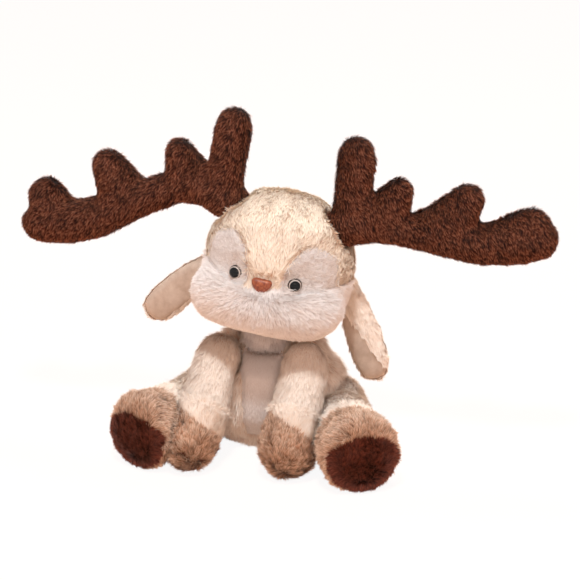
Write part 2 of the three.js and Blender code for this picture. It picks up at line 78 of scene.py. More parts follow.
def fixed(piece):
    """Turns what the modifiers make of a piece into its plain mesh."""
    bpy.context.view_layer.update()
    evaluated = piece.evaluated_get(bpy.context.evaluated_depsgraph_get())
    mesh = bpy.data.meshes.new_from_object(evaluated)
    old = piece.data
    piece.modifiers.clear()
    piece.data = mesh
    mesh.name = piece.name
    bpy.data.meshes.remove(old)


def points_of(mesh):
    """The place of each vertex."""
    flat = np.empty(len(mesh.vertices) * 3, np.float32)
    mesh.vertices.foreach_get("co", flat)
    return flat.reshape(-1, 3).astype(float)


def normals_of(mesh):
    """The outward direction at each vertex."""
    flat = np.empty(len(mesh.vertices) * 3, np.float32)
    mesh.vertex_normals.foreach_get("vector", flat)
    return flat.reshape(-1, 3).astype(float)


def put_at(mesh, points):
    """Moves each vertex to its point."""
    mesh.vertices.foreach_set("co", points.astype(np.float32).ravel())
    mesh.update()


def tree_of(nodes):
    """A search tree over the surfaces of CAD nodes."""
    points, faces = [], []
    for name in nodes:
        mesh = frame["nodes"][name].data
        start = len(points)
        points += [v.co.copy() for v in mesh.vertices]
        faces += [[start + i for i in p.vertices] for p in mesh.polygons]
    return BVHTree.FromPolygons(points, faces)


def gap_to(points, nodes):
    """How far each point lies from the surfaces of these CAD nodes."""
    tree = tree_of(nodes)
    return np.array([tree.find_nearest(Vector(p))[3] for p in points])


def middle_of(node_name):
    """The middle of a CAD node's box."""
    return np.array([(a + b) / 2 for a, b in zip(*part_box(node_name))])


def keep_value(mesh, name, values):
    """Stores a number or a direction at each vertex."""
    values = np.asarray(values, np.float32)
    kind = "FLOAT" if values.ndim == 1 else "FLOAT_VECTOR"
    attribute = mesh.attributes.get(name) or mesh.attributes.new(name, kind, "POINT")
    attribute.data.foreach_set("value" if values.ndim == 1 else "vector", values.ravel())


def kept_value(mesh, name):
    """Reads the number stored at each vertex."""
    values = np.empty(len(mesh.vertices), np.float32)
    mesh.attributes[name].data.foreach_get("value", values)
    return values.astype(float)


def eased(values, low, high):
    """A soft step from 0 at low to 1 at high."""
    t = np.clip((values - low) / (high - low), 0, 1)
    return t * t * (3 - 2 * t)


def evened(mesh, values, rounds):
    """Spreads the number at each vertex over its neighbours."""
    ends = np.empty(len(mesh.edges) * 2, np.int32)
    mesh.edges.foreach_get("vertices", ends)
    first, second = ends.reshape(-1, 2).T
    for _ in range(rounds):
        around = np.bincount(first, values[second], len(values)) + np.bincount(second, values[first], len(values))
        values = (values + around / np.bincount(ends, minlength=len(values))) / 2
    return values


CLOTH_STEPS, CLOTH_PRESSURE = 20, 4.0


def stuffed_skin(name, nodes, voxel, swell, held=(), rounds=4, sunk=0.0):
    """One closed skin round the CAD nodes of a body: remeshed, smoothed in rounds, let out by half of swell,
    blown up as cloth by its filling, by swell at most, and held where it meets what is named in held. sunk is
    how far under the CAD surface it would end without that, which leaves room for the pile."""
    merged = bmesh.new()
    for node_name in nodes:
        merged.from_mesh(frame["nodes"][node_name].data)
    bmesh.ops.remove_doubles(merged, verts=merged.verts, dist=0.01 * MM)
    mesh = bpy.data.meshes.new(name)
    merged.to_mesh(mesh)
    merged.free()
    piece = shown(bpy.data.objects.new(name, mesh))
    remesh = piece.modifiers.new("one_skin", "REMESH")
    remesh.mode, remesh.voxel_size = "VOXEL", voxel
    fixed(piece)

    # only the largest body is kept, so no pocket of a seam stays inside
    whole = bmesh.new()
    whole.from_mesh(piece.data)
    seen, groups = set(), []
    for vert in whole.verts:
        if vert.index in seen:
            continue
        seen.add(vert.index)
        group, heap = [vert], [vert]
        while heap:
            for edge in heap.pop().link_edges:
                for other in edge.verts:
                    if other.index not in seen:
                        seen.add(other.index)
                        group.append(other)
                        heap.append(other)
        groups.append(group)
    groups.sort(key=len)
    for group in groups[:-1]:
        bmesh.ops.delete(whole, geom=group, context="VERTS")
    for _ in range(rounds):
        bmesh.ops.smooth_vert(whole, verts=whole.verts, factor=0.5, use_axis_x=True, use_axis_y=True, use_axis_z=True)
    whole.to_mesh(piece.data)
    whole.free()

    start, outward = points_of(piece.data), normals_of(piece.data)
    risen = np.full(len(start), swell * 0.5)
    cloth = piece.modifiers.new("filling", "CLOTH")
    cloth.settings.quality = 5
    cloth.settings.use_pressure = True
    cloth.settings.uniform_pressure_force = CLOTH_PRESSURE
    cloth.settings.effector_weights.gravity = 0
    cloth.point_cache.frame_start, cloth.point_cache.frame_end = 1, CLOTH_STEPS
    for step in range(1, CLOTH_STEPS + 1):
        bpy.context.scene.frame_set(step)
    evaluated = piece.evaluated_get(bpy.context.evaluated_depsgraph_get())
    blown = np.sum((points_of(evaluated.data) - start) * outward, axis=1)
    piece.modifiers.clear()
    bpy.context.scene.frame_set(1)
    risen = np.clip(risen + evened(piece.data, blown, 4), 0, swell)
    if held:
        risen *= eased(gap_to(start, held), 2 * MM, 12 * MM)
    ended = start + outward * (risen - sunk)[:, None]
    ended[:, 2] = np.maximum(ended[:, 2], 0.4 * MM)
    put_at(piece.data, ended)
    finer = piece.modifiers.new("finer", "SUBSURF")
    finer.levels = finer.render_levels = 1
    fixed(piece)
    piece.data.shade_smooth()
    return piece


def zones(piece, parts, backings, pinch=1.2):
    """Marks each panel of a skin by how far a vertex lies outside it, below zero inside, gives it its backing
    and draws the skin in along the seams between panels, by pinch millimetres."""
    points = points_of(piece.data)
    gaps = {panel: gap_to(points, nodes) for panel, nodes in parts.items()}
    beyonds = []
    for panel, own in gaps.items():
        others = [gap for other, gap in gaps.items() if other != panel]
        beyonds.append(evened(piece.data, own - np.min(others, axis=0), 4) if others else own - 1)
        keep_value(piece.data, "zone_" + panel, beyonds[-1])
    if len(gaps) > 1:
        pinched(piece, np.min(beyonds, axis=0), pinch)
    for backing in backings:
        piece.data.materials.append(backing)
    backed(piece, parts)


def pinched(piece, distance, depth):
    """Draws a skin in along a seam, from the distance of each vertex to it."""
    seam = 1 - eased(np.abs(distance), 0.0, 5 * MM)
    put_at(piece.data, points_of(piece.data) - normals_of(piece.data) * (depth * MM * seam)[:, None])


def backed(piece, panels):
    """Gives each face of a skin the backing of the panel it lies in."""
    nearest = np.argmin([kept_value(piece.data, "zone_" + panel) for panel in panels], axis=0)
    backings = [int(nearest[face.vertices[0]]) for face in piece.data.polygons]
    piece.data.polygons.foreach_set("material_index", backings)


def combed(piece, direction, strength=1.0):
    """Marks which way the pile is brushed: the direction, laid flat on the cloth. Where the strength is low,
    as at a whorl, the pile stands up."""
    normals = normals_of(piece.data)
    flat = direction - normals * np.sum(direction * normals, axis=1, keepdims=True)
    flat /= np.linalg.norm(flat, axis=1, keepdims=True) + 1e-6
    keep_value(piece.data, "comb", flat * np.reshape(strength, (-1, 1)))


AMPLE = 0.05  # more room than any pile needs


def clearance(piece, body):
    """Marks how far the pile could grow at each vertex before it meets another body, upright or brushed flat."""
    tree = tree_of([n for n, o in frame["nodes"].items() if o["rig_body"] != body])
    points, normals = points_of(piece.data), normals_of(piece.data)
    flat = np.empty(len(points) * 3, np.float32)
    piece.data.attributes["comb"].data.foreach_get("vector", flat)
    comb = flat.reshape(-1, 3).astype(float)
    room = np.full(len(points), AMPLE)
    for lean in (0.0, 0.5, 0.8):
        for k, (start, aim) in enumerate(zip(points, normals * (1 - lean) + comb * lean)):
            hit = tree.ray_cast(Vector(start), Vector(aim), AMPLE)
            if hit[0] is not None:
                room[k] = min(room[k], hit[3])
    keep_value(piece.data, "room", room)


def add(tree, kind, inputs=None, stops=(), **settings):
    """Adds a node with its settings. An input takes a value or the output that is linked to it, and stops are
    the places and sRGB hex colours of a colour ramp."""
    made = tree.nodes.new(kind)
    for key, value in settings.items():
        setattr(made, key, value)
    for key, value in (inputs or {}).items():
        if isinstance(value, bpy.types.NodeSocket):
            tree.links.new(value, made.inputs[key])
        else:
            made.inputs[key].default_value = value
    if stops:
        elements = made.color_ramp.elements
        while len(elements) < len(stops):
            elements.new(0.5)
        for element, (place, colour) in zip(elements, stops):
            element.position, element.color = place, linear(colour)
    return made


def linear(code):
    """An sRGB hex colour as the linear values that a shader takes."""
    parts = [int(code[i : i + 2], 16) / 255 for i in (1, 3, 5)]
    return (*[p / 12.92 if p <= 0.04045 else ((p + 0.055) / 1.055) ** 2.4 for p in parts], 1.0)


def shaded(name, **inputs):
    """A new material with one Principled shader, its tree and that shader."""
    material = bpy.data.materials.new(name)
    material.use_nodes = True
    tree = material.node_tree
    shader = tree.nodes["Principled BSDF"]
    for key, value in inputs.items():
        shader.inputs[key.replace("_", " ")].default_value = value
    return material, tree, shader


def pile_yarn(name, root, middle, tip, pale=1.05, dark=0.88, sharp=1.0, gloss=0.5, sheen=0.25,
              sheen_colour="#fff4e8"):
    """Brushed polyester plush yarn: satin fibres with a soft sheen where they turn away. Each strand is darker at its
    root, painted shade where light doesn't reach, and paler at its brushed tip, partly painted light. Tufts differ a
    little in their dye, and where pale and dark lie far apart the palest strands are painted glints and the darkest
    painted shade.
    sharp makes the palest strands fewer."""
    material, tree, shader = shaded(name, Roughness=0.6, Specular_IOR_Level=gloss, Sheen_Weight=sheen,
                                    Sheen_Roughness=0.4, Sheen_Tint=linear(sheen_colour), IOR=1.5)
    chart = add(tree, "ShaderNodeUVMap", uv_map="OFBake")
    parts = add(tree, "ShaderNodeSeparateXYZ", {0: chart.outputs[0]})
    along = add(tree, "ShaderNodeValToRGB", {0: parts.outputs[1]}, [(0.0, root), (0.5, middle), (1.0, tip)])
    pale_share = add(tree, "ShaderNodeMath", {0: parts.outputs[0], 1: sharp}, operation="POWER")
    tuft = add(tree, "ShaderNodeMapRange", {0: pale_share.outputs[0], 1: 0.0, 2: 1.0, 3: dark, 4: pale})
    tinted = add(tree, "ShaderNodeMix", {0: 1.0, 6: along.outputs[0], 7: tuft.outputs[0]},
                 data_type="RGBA", blend_type="MULTIPLY")
    tree.links.new(tinted.outputs[2], shader.inputs["Base Color"])
    return material


def knit_backing(name, colour, shade):
    """Warp knit polyester backing, in the colour of the pile's roots: a matt ground of tiny loops that only
    shows between the strands. Its loops, about 0.6 mm apart, are drawn 1 mm apart so that they show. The dips
    between the loops take the darker colour given as shade: painted shade."""
    material, tree, shader = shaded(name, Roughness=0.9)
    place = add(tree, "ShaderNodeTexCoord")
    loops = add(tree, "ShaderNodeTexNoise", {"Vector": place.outputs["Object"], "Scale": 1000.0, "Detail": 2.0})
    dyed = add(tree, "ShaderNodeValToRGB", {0: loops.outputs[0]}, [(0.3, shade), (0.7, colour)])
    tree.links.new(dyed.outputs[0], shader.inputs["Base Color"])
    bump = add(tree, "ShaderNodeBump", {"Height": loops.outputs[0], "Strength": 0.5, "Distance": 0.0006})
    tree.links.new(bump.outputs[0], shader.inputs["Normal"])
    return material


# One strand of pile: a narrow blade that widens to its middle, tapers to a brushed tip and bends to +X.
strand_mesh = bpy.data.meshes.new("pile_strand")
strand_mesh.from_pydata([(0, -0.35, 0), (0, 0.35, 0), (0.35, 0.5, 0.45), (0.35, -0.5, 0.45), (2.0, 0, 1)], [],
                        [(0, 1, 2), (0, 2, 3), (3, 2, 4)])
strand_mesh.shade_smooth()
keep_value(strand_mesh, "rise", [0.0, 0.0, 0.45, 0.45, 1.0])
strand = shown(bpy.data.objects.new("pile_strand", strand_mesh))
strand.hide_render = strand.hide_viewport = True

# The pile: strands on a skin's panel, brushed along the comb direction and gathered in tufts.
pile_tree = bpy.data.node_groups.new("cut_pile", "GeometryNodeTree")
SETTINGS = {}
for label, kind, value in (
        ("Geometry", "Geometry", None), ("Strand", "Object", None), ("Yarn", "Material", None),
        ("Panel", "String", ""), ("Per Square Metre", "Float", 500000.0), ("Length", "Float", 0.009),
        ("Width", "Float", 0.0009), ("Lean", "Float", 0.5), ("Tuft Size", "Float", 0.007),
        ("Tuft Lean", "Float", 0.5), ("Stray", "Float", 0.2),
        ("Mottle", "Float", 1.5), ("Speckle", "Float", 0.6), ("Seed", "Int", 1)):
    made = pile_tree.interface.new_socket(label, in_out="INPUT", socket_type="NodeSocket" + kind)
    if value is not None:
        made.default_value = value
    SETTINGS[label] = made.identifier
pile_tree.interface.new_socket("Geometry", in_out="OUTPUT", socket_type="NodeSocketGeometry")
tree = pile_tree
given = add(tree, "NodeGroupInput").outputs
kept = {name: add(tree, "GeometryNodeInputNamedAttribute", {0: name}, data_type=kind).outputs[0]
        for name, kind in (("room", "FLOAT"), ("trim", "FLOAT"), ("variant", "FLOAT"), ("rise", "FLOAT"),
                           ("comb", "FLOAT_VECTOR"), ("skin_normal", "FLOAT_VECTOR"))}
zone = add(tree, "GeometryNodeInputNamedAttribute", {0: given["Panel"]}, data_type="FLOAT").outputs[0]
in_panel = add(tree, "ShaderNodeMath", {0: zone, 1: 0.0}, operation="LESS_THAN").outputs[0]
NO_ROOM, FULL_ROOM = 0.0007, 0.008  # where another body is nearer, no strand grows, or only a shorter one
has_room = add(tree, "ShaderNodeMath", {0: kept["room"], 1: NO_ROOM}, operation="GREATER_THAN").outputs[0]
grows = add(tree, "ShaderNodeMath", {0: in_panel, 1: has_room}, operation="MULTIPLY").outputs[0]
scatter = add(tree, "GeometryNodeDistributePointsOnFaces", {
    "Mesh": given["Geometry"], "Selection": grows, "Density": given["Per Square Metre"], "Seed": given["Seed"]})
place = add(tree, "GeometryNodeInputPosition").outputs[0]
stray = add(tree, "FunctionNodeRandomValue", {0: (-1, -1, -1), 1: (1, 1, 1), "Seed": given["Seed"]},
            data_type="FLOAT_VECTOR").outputs[0]
chance = add(tree, "FunctionNodeRandomValue", {2: 0.0, 3: 1.0, "Seed": given["Seed"]},
             data_type="FLOAT").outputs[1]

# tufts sway together, and so do broader patches of them
fine_scale = add(tree, "ShaderNodeMath", {0: 1.0, 1: given["Tuft Size"]}, operation="DIVIDE").outputs[0]
broad_scale = add(tree, "ShaderNodeMath", {0: fine_scale, 1: 0.3}, operation="MULTIPLY").outputs[0]
tufts = add(tree, "ShaderNodeTexNoise", {"Vector": place, "Scale": fine_scale, "Detail": 1.0})
broad = add(tree, "ShaderNodeTexNoise", {"Vector": place, "Scale": broad_scale, "Detail": 0.0})
fine_sway, broad_sway = [
    add(tree, "ShaderNodeVectorMath", {0: noise.outputs[1], 1: (0.5, 0.5, 0.5)}, operation="SUBTRACT").outputs[0]
    for noise in (tufts, broad)]
broad_sway = add(tree, "ShaderNodeVectorMath", {0: broad_sway, 3: 0.7}, operation="SCALE").outputs[0]
sway = add(tree, "ShaderNodeVectorMath", {0: fine_sway, 1: broad_sway}, operation="ADD").outputs[0]

# a strand's aim, between upright and brushed flat, swayed and astray
upright = add(tree, "ShaderNodeMath", {0: 1.0, 1: given["Lean"]}, operation="SUBTRACT").outputs[0]
swayed, twisted = [
    add(tree, "ShaderNodeMath", {0: given["Tuft Lean"], 1: share}, operation="MULTIPLY").outputs[0]
    for share in (3.0, 6.0)]
aim = add(tree, "ShaderNodeVectorMath", {0: kept["skin_normal"], 3: upright}, operation="SCALE").outputs[0]
for pull, share in ((kept["comb"], given["Lean"]), (sway, swayed), (stray, given["Stray"])):
    pulled = add(tree, "ShaderNodeVectorMath", {0: pull, 3: share}, operation="SCALE").outputs[0]
    aim = add(tree, "ShaderNodeVectorMath", {0: aim, 1: pulled}, operation="ADD").outputs[0]
# no strand may grow back into the cloth, so each keeps a share of the outward direction
outward = add(tree, "ShaderNodeVectorMath", {0: aim, 1: kept["skin_normal"]},
              operation="DOT_PRODUCT").outputs[1]
lacking = add(tree, "ShaderNodeMath", {0: 0.28, 1: outward}, operation="SUBTRACT").outputs[0]
lacking = add(tree, "ShaderNodeMath", {0: lacking, 1: 0.0}, operation="MAXIMUM").outputs[0]
lifted, twist = [
    add(tree, "ShaderNodeVectorMath", {0: pull, 3: share}, operation="SCALE").outputs[0]
    for pull, share in ((kept["skin_normal"], lacking), (sway, twisted))]
aim = add(tree, "ShaderNodeVectorMath", {0: aim, 1: lifted}, operation="ADD").outputs[0]
bend = add(tree, "ShaderNodeVectorMath", {0: kept["comb"], 1: twist}, operation="ADD").outputs[0]
turn = add(tree, "FunctionNodeAxesToRotation", {0: aim, 1: bend},
           primary_axis="Z", secondary_axis="X").outputs[0]

# its size, and the variant of its colour, which follows the tufts: partly dye, partly painted glints and painted
# shade
room = add(tree, "ShaderNodeMapRange", {0: kept["room"], 1: NO_ROOM, 2: FULL_ROOM, 3: 0.45, 4: 1.0}).outputs[0]
uneven = add(tree, "ShaderNodeMath", {0: chance, 1: 0.5, 2: 0.7}, operation="MULTIPLY_ADD").outputs[0]
height = given["Length"]
for share in (room, kept["trim"], uneven):
    height = add(tree, "ShaderNodeMath", {0: height, 1: share}, operation="MULTIPLY").outputs[0]
size = add(tree, "ShaderNodeCombineXYZ", {0: given["Width"], 1: given["Width"], 2: height}).outputs[0]
variant = 0.5
for noise, amount in ((tufts.outputs[0], given["Mottle"]), (chance, given["Speckle"])):
    apart = add(tree, "ShaderNodeMath", {0: noise, 1: 0.5}, operation="SUBTRACT").outputs[0]
    variant = add(tree, "ShaderNodeMath", {0: apart, 1: amount, 2: variant}, operation="MULTIPLY_ADD").outputs[0]
variant = add(tree, "ShaderNodeClamp", {0: variant}).outputs[0]
marked = add(tree, "GeometryNodeStoreNamedAttribute", {
    "Geometry": scatter.outputs[0], "Name": "variant", "Value": variant}, data_type="FLOAT", domain="POINT")
source = add(tree, "GeometryNodeObjectInfo", {"Object": given["Strand"]})
grown = add(tree, "GeometryNodeInstanceOnPoints", {
    "Points": marked.outputs[0], "Instance": source.outputs["Geometry"], "Rotation": turn, "Scale": size})
real = add(tree, "GeometryNodeRealizeInstances", {0: grown.outputs[0]})
axes = add(tree, "ShaderNodeSeparateXYZ", {0: place})
lowest = add(tree, "ShaderNodeMath", {0: axes.outputs[2], 1: 0.3 * MM}, operation="MAXIMUM").outputs[0]
above = add(tree, "ShaderNodeCombineXYZ", {0: axes.outputs[0], 1: axes.outputs[1], 2: lowest})
laid = add(tree, "GeometryNodeSetPosition", {"Geometry": real.outputs[0], "Position": above.outputs[0]})
# the yarn's colour reads this chart: the tuft's variant across, and the height along the strand
chart = add(tree, "ShaderNodeCombineXYZ", {0: kept["variant"], 1: kept["rise"]})
charted = add(tree, "GeometryNodeStoreNamedAttribute", {
    "Geometry": laid.outputs[0], "Name": "OFBake", "Value": chart.outputs[0]}, data_type="FLOAT2", domain="CORNER")
dyed = add(tree, "GeometryNodeSetMaterial", {"Geometry": charted.outputs[0], "Material": given["Yarn"]})
tree.links.new(dyed.outputs[0], add(tree, "NodeGroupOutput").inputs[0])


def pile(name, skin, panel, yarn, per_mm2, length, width=0.8, lean=0.65, tuft=5, tuft_lean=0.25, stray=0.15,
         mottle=1.0, speckle=0.6, seed=1):
    """Grows the pile of one panel of a skin, in millimetres, as a piece of its own. Real plush has tens of
    fibres to a square millimetre, each far thinner than a hair: each strand stands for a lock of them."""
    if not skin.data.attributes.get("trim"):
        keep_value(skin.data, "trim", np.ones(len(skin.data.vertices)))
    keep_value(skin.data, "skin_normal", normals_of(skin.data))
    piece = shown(bpy.data.objects.new(name, skin.data.copy()))
    grow = piece.modifiers.new("pile", "NODES")
    grow.node_group = pile_tree
    for label, value in (("Strand", strand), ("Yarn", yarn), ("Panel", "zone_" + panel),
                         ("Per Square Metre", per_mm2 * 1e6), ("Length", length * MM), ("Width", width * MM),
                         ("Lean", lean), ("Tuft Size", tuft * MM), ("Tuft Lean", tuft_lean), ("Stray", stray),
                         ("Mottle", mottle), ("Speckle", speckle), ("Seed", seed)):
        grow[SETTINGS[label]] = value
    fixed(piece)
    piece.data.materials.clear()
    piece.data.materials.append(yarn)
    return piece


cream_backing = knit_backing("warp_knit_cream", "#ecd0ba", "#d8b59c")
white_backing = knit_backing("warp_knit_white", "#e8dad2", "#d6c4ba")
cream_yarn = pile_yarn("plush_yarn_cream", "#e2c6b0", "#faede0", "#fff9f1", dark=0.92)
white_yarn = pile_yarn("plush_yarn_white", "#d8c4ba", "#ede6e2", "#faf6f4")

torso = stuffed_skin("torso_skin", ["torso_cover", "belly_panel", "torso_stuffing"], 4.5 * MM, 2 * MM, held=[
    "front_leg_left", "front_leg_right", "hind_leg_left", "hind_leg_right", "neck_core", "tail"], sunk=1.5 * MM)
zones(torso, {"cover": ["torso_cover"], "belly": ["belly_panel"]}, [cream_backing, white_backing])
# low down the belly lies further in, between the front legs
spots = points_of(torso.data)
between = 1 - eased(np.abs(spots[:, 0] - middle_of("belly_panel")[0]), 0.018, 0.045)
between *= 1 - eased(spots[:, 1], -0.035, 0.005)
spots[:, 1] += 8 * MM * between * (1 - eased(spots[:, 2], 0.055, 0.095)) * eased(spots[:, 2], 0.0, 0.012)
put_at(torso.data, spots)
# brushed down, but up round the neck, where the pile hides the seam
collar = eased(spots[:, 2], 0.096, 0.102) * (1 - eased(gap_to(spots, ["neck_core"]), 0.005, 0.013))
on_cover = kept_value(torso.data, "zone_belly") > 0
combed(torso, np.outer(2 * collar * on_cover - 1, [0.0, 0.0, 1.0]), 1 - 0.3 * collar * on_cover)
clearance(torso, "torso")
# round the neck and the tail the pile grows over the seam
by_tail = 1 - eased(gap_to(spots, ["tail"]), 0.006, 0.02)
over_seam = np.maximum(0.008 * collar, 0.005 * by_tail)
keep_value(torso.data, "room", np.maximum(kept_value(torso.data, "room"), over_seam))
# the belly's pile is left twice as long under the neck
keep_value(torso.data, "trim", 1 + eased(spots[:, 2], 0.08, 0.097) * ~on_cover)
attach(torso, "torso")
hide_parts("torso_cover", "belly_panel", "torso_stuffing")
EVEN = {"lean": 0.6, "tuft_lean": 0.05, "stray": 0.1, "mottle": 0.2, "speckle": 0.2}
for name, panel, yarn, dense, long, looks, kind in (
        ("torso_pile", "cover", cream_yarn, 0.95, 10, {}, "cream_pile"),
        ("belly_pile", "belly", white_yarn, 4.5, 4, EVEN, "white_pile")):
    grown_pile = pile(name, torso, panel, yarn, dense, long, **looks)
    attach(grown_pile, "torso")

# NECK
# Where the head is sewn on, a short stuffed neck lets it turn and nod. It has the same cream plush, and
# the white of the belly runs up its front.

# The neck's backing is the cream backing painted lighter: painted light against the shade in the crease under the
# head.
lightened_neck_backing = knit_backing("warp_knit_neck", "#f3e0d0", "#e2c8b4")
neck = stuffed_skin("neck_skin", ["neck_core"], 5 * MM, 0.0, sunk=5 * MM)
zones(neck, {"core": ["neck_core"]}, [lightened_neck_backing])
spots = points_of(neck.data)
# brushed down, but out of the crease where the neck meets the torso
torso_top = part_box("torso_cover")[1].z
combed(neck, np.tile([0.0, 0.0, -1.0], (len(spots), 1)),
       0.1 + 0.9 * eased(spots[:, 2], torso_top - 0.006, torso_top + 0.01))
clearance(neck, "neck")
low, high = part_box("belly_panel")
beside = np.abs(spots[:, 0] - (low.x + high.x) / 2) - (high.x - low.x) / 2
beside = np.where(spots[:, 1] < spots[:, 1].mean(), beside, 1.0)
keep_value(neck.data, "zone_front", beside)
keep_value(neck.data, "zone_core", -beside)
# the pile of its front hangs over the seam to the belly
keep_value(neck.data, "room", np.where(beside < 0, AMPLE, kept_value(neck.data, "room")))
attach(neck, "neck")
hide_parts("neck_core")
for name, panel, yarn, long, kind in (("neck_pile", "core", cream_yarn, 9, "cream_pile"),
                                      ("neck_front_pile", "front", white_yarn, 11, "white_pile")):
    grown_pile = pile(name, neck, panel, yarn, 2.0, long, lean=0.8, tuft_lean=0.05, mottle=0.4)
    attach(grown_pile, "neck")

# LEGS
# Each leg is a stuffed sleeve of cream plush with a tan end. The hind ones lie on the floor and show a
# dark brown sole, the front ones reach forward between them and end in round paws.

tan_backing = knit_backing("warp_knit_tan", "#9a6a50", "#7d5038")
sole_backing = knit_backing("warp_knit_sole", "#3a1a10", "#2c120b")
tan_yarn = pile_yarn("plush_yarn_tan", "#6a3f28", "#b98f73", "#eed6c0", pale=1.15, dark=0.62)
sole_yarn = pile_yarn("plush_yarn_dark_brown", "#2b110a", "#451d12", "#7c4232", pale=1.6, dark=0.5, sharp=1.3,
                      gloss=0.3, sheen_colour="#c9805f")
SIDES = (("left", 1), ("right", -1))  # each side with the sign of its X
SLEEVE_LOOKS = {"tuft_lean": 0.12, "mottle": 0.6, "stray": 0.2}
# pale and dark strands far apart: partly the dye, partly painted glints on lit tips and painted shade in the creases
GLINT_STREAKED = {"mottle": 1.6, "speckle": 1.0}
# millimetres from the CAD panel's edge to the seam of the tan, and from it to the top edge of the sole
FOOT_SEAM, SOLE_DROP, PAW_SEAM = {"left": 10, "right": 16}, {"left": 12, "right": 15}, {"left": 15, "right": 18}
ON_SEAM = 1.5 * MM


def reseamed(piece, first, second, beyond, outside=None):
    """Lays the seam between two panels where beyond is zero: the first panel is where it is below. outside is
    above zero past the outer edge of the two."""
    rim = beyond * 0 - 1 if outside is None else outside
    keep_value(piece.data, "zone_" + first, np.maximum(beyond, rim))
    keep_value(piece.data, "zone_" + second, np.maximum(-beyond, rim))
    pinched(piece, np.where(rim < 0, beyond, 1.0), 1.0)


for side, sign in SIDES:
    body = "hind_leg_" + side
    nodes = [f"hind_leg_{side}", f"hind_foot_{side}", f"hind_sole_{side}", f"hind_leg_stuffing_{side}"]
    leg = stuffed_skin(f"hind_leg_skin_{side}", nodes, 4 * MM, 5 * MM,
                       held=["torso_cover", f"front_leg_{side}", f"front_paw_{side}"], sunk=1.5 * MM)
    zones(leg, {"haunch": nodes[:1], "foot": nodes[1:2], "sole": nodes[2:3]},
          [cream_backing, tan_backing, sole_backing], pinch=0.0)
    hip, sole = Vector(middle_of(f"hind_leg_{side}")), Vector(middle_of(f"hind_sole_{side}"))
    ahead = np.array((sole - hip).normalized())
    spots = points_of(leg.data)
    away = spots - (np.array(sole) - ahead * 0.004)
    reach = np.linalg.norm(away, axis=1, keepdims=True)
    on_foot = eased(-gap_to(spots, nodes[1:3]), -0.004, 0.0)[:, None]
    in_sole = eased(-kept_value(leg.data, "zone_sole"), 0.0, 0.008)[:, None]
    brushed = (ahead + [0, 0, -0.3]) * (1 - on_foot) + (away / (reach + 1e-6) + [0, 0, -0.25]) * on_foot
    combed(leg, brushed * (1 - in_sole) + np.array([0.0, 0.0, 1.0]) * in_sole)
    clearance(leg, body)
    # the haunch is sewn to the flank, so its pile runs on over that seam
    on_haunch = 1 - on_foot[:, 0]
    by_flank = gap_to(spots, ["torso_cover"]) < 0.012
    keep_value(leg.data, "room", np.maximum(kept_value(leg.data, "room"), 0.006 * on_haunch * by_flank))
    # the tan is sewn on a little further down than the foot begins
    along = spots @ ahead
    to_foot, to_haunch = [np.abs(kept_value(leg.data, "zone_" + panel)) for panel in ("foot", "haunch")]
    on_seam = np.maximum(to_foot, to_haunch) < ON_SEAM
    beyond = along - along[on_seam].mean() - FOOT_SEAM[side] * MM
    # and it comes down over the top of the sole
    sole_edge = kept_value(leg.data, "zone_sole")
    sole_edge = sole_edge + SOLE_DROP[side] * MM * eased(spots[:, 2], sole.z, sole.z + 0.03)
    keep_value(leg.data, "zone_sole", sole_edge)
    reseamed(leg, "haunch", "foot", beyond, -sole_edge)
    backed(leg, ["haunch", "foot", "sole"])
    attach(leg, body)
    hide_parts(*nodes)
    for name, panel, yarn, dense, long, looks, kind in (
            ("hind_leg_pile_", "haunch", cream_yarn, 1.2, 8, SLEEVE_LOOKS, "cream_pile"),
            ("hind_foot_pile_", "foot", tan_yarn, 2.1, 7, {**GLINT_STREAKED, "tuft_lean": 0.4, "lean": 0.6}, "tan_pile"),
            ("hind_sole_pile_", "sole", sole_yarn, 3.2, 6, {**GLINT_STREAKED, "tuft_lean": 0.4, "lean": 0.45},
             "dark_brown_pile")):
        grown_pile = pile(name + side, leg, panel, yarn, dense, long, seed=5 + sign, **looks)
        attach(grown_pile, body)

